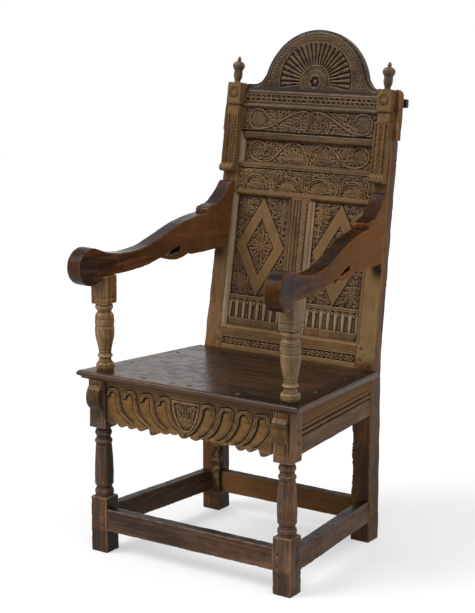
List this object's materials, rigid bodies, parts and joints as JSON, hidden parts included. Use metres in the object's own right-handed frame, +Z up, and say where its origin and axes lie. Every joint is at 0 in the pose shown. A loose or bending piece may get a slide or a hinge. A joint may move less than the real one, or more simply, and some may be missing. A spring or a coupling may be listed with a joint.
{
  "type": "wainscot chair",
  "caption": "Joined oak armchair with a high, carved and panelled raked back, half-round fan crest, scrolled arms on turned supports, board seat, carved apron and low stretchers.",
  "frame": {"origin": "on the floor, under the middle of the whole chair", "axes": "+Z up, the chair faces -Y, +X is the right-hand side seen from the front"},
  "size_m": [0.622, 0.6568, 1.2294],
  "materials": {
    "oak_legs": "waxed, worn, grey-brown",
    "oak_supports": "polished by use, honey brown",
    "oak_arms": "polished by use, reddish brown",
    "oak_seat": "polished by use, dark brown",
    "oak_apron": "waxed, golden brown",
    "oak_posts": "waxed, orange-brown",
    "oak_back": "waxed, carved, brown",
    "pegs": "waxed"
  },
  "bodies": {
    "root": {"arm_left": "oak_arms", "arm_right": "oak_arms", "arm_support_left": "oak_supports", "arm_support_right": "oak_supports", "back_bottom_rail": "oak_back", "back_muntin": "oak_back", "crest_batten": "oak_posts", "crest_block_left": "oak_back", "crest_block_right": "oak_back", "crest_pediment": "oak_back", "crest_rail": "oak_back", "ear_strip_left": "oak_back", "ear_strip_right": "oak_back", "finial_left": "oak_back", "finial_right": "oak_back", "frieze_moulding_bottom": "oak_back", "frieze_moulding_left": "oak_back", "frieze_moulding_right": "oak_back", "frieze_moulding_top": "oak_back", "frieze_panel": "oak_back", "front_apron_rail": "oak_apron", "front_leg_left": "oak_legs", "front_leg_right": "oak_legs", "front_stretcher": "oak_legs", "leg_corbel_left": "oak_apron", "leg_corbel_right": "oak_apron", "lower_panel_left": "oak_back", "lower_panel_right": "oak_back", "lunette_rail": "oak_back", "pegs_arms": "pegs", "pegs_back": "pegs", "pegs_front_frame": "pegs", "pegs_rear_frame": "pegs", "pegs_seat": "pegs", "pegs_side_frames": "pegs", "post_cheek_left": "oak_posts", "post_cheek_right": "oak_posts", "rear_post_left": "oak_posts", "rear_post_right": "oak_posts", "rear_seat_rail": "oak_posts", "rear_stretcher": "oak_legs", "scroll_rail": "oak_back", "seat_board": "oak_seat", "side_seat_rail_left": "oak_posts", "side_seat_rail_right": "oak_posts", "side_stretcher_left": "oak_legs", "side_stretcher_right": "oak_legs"}
  },
  "joints": []
}
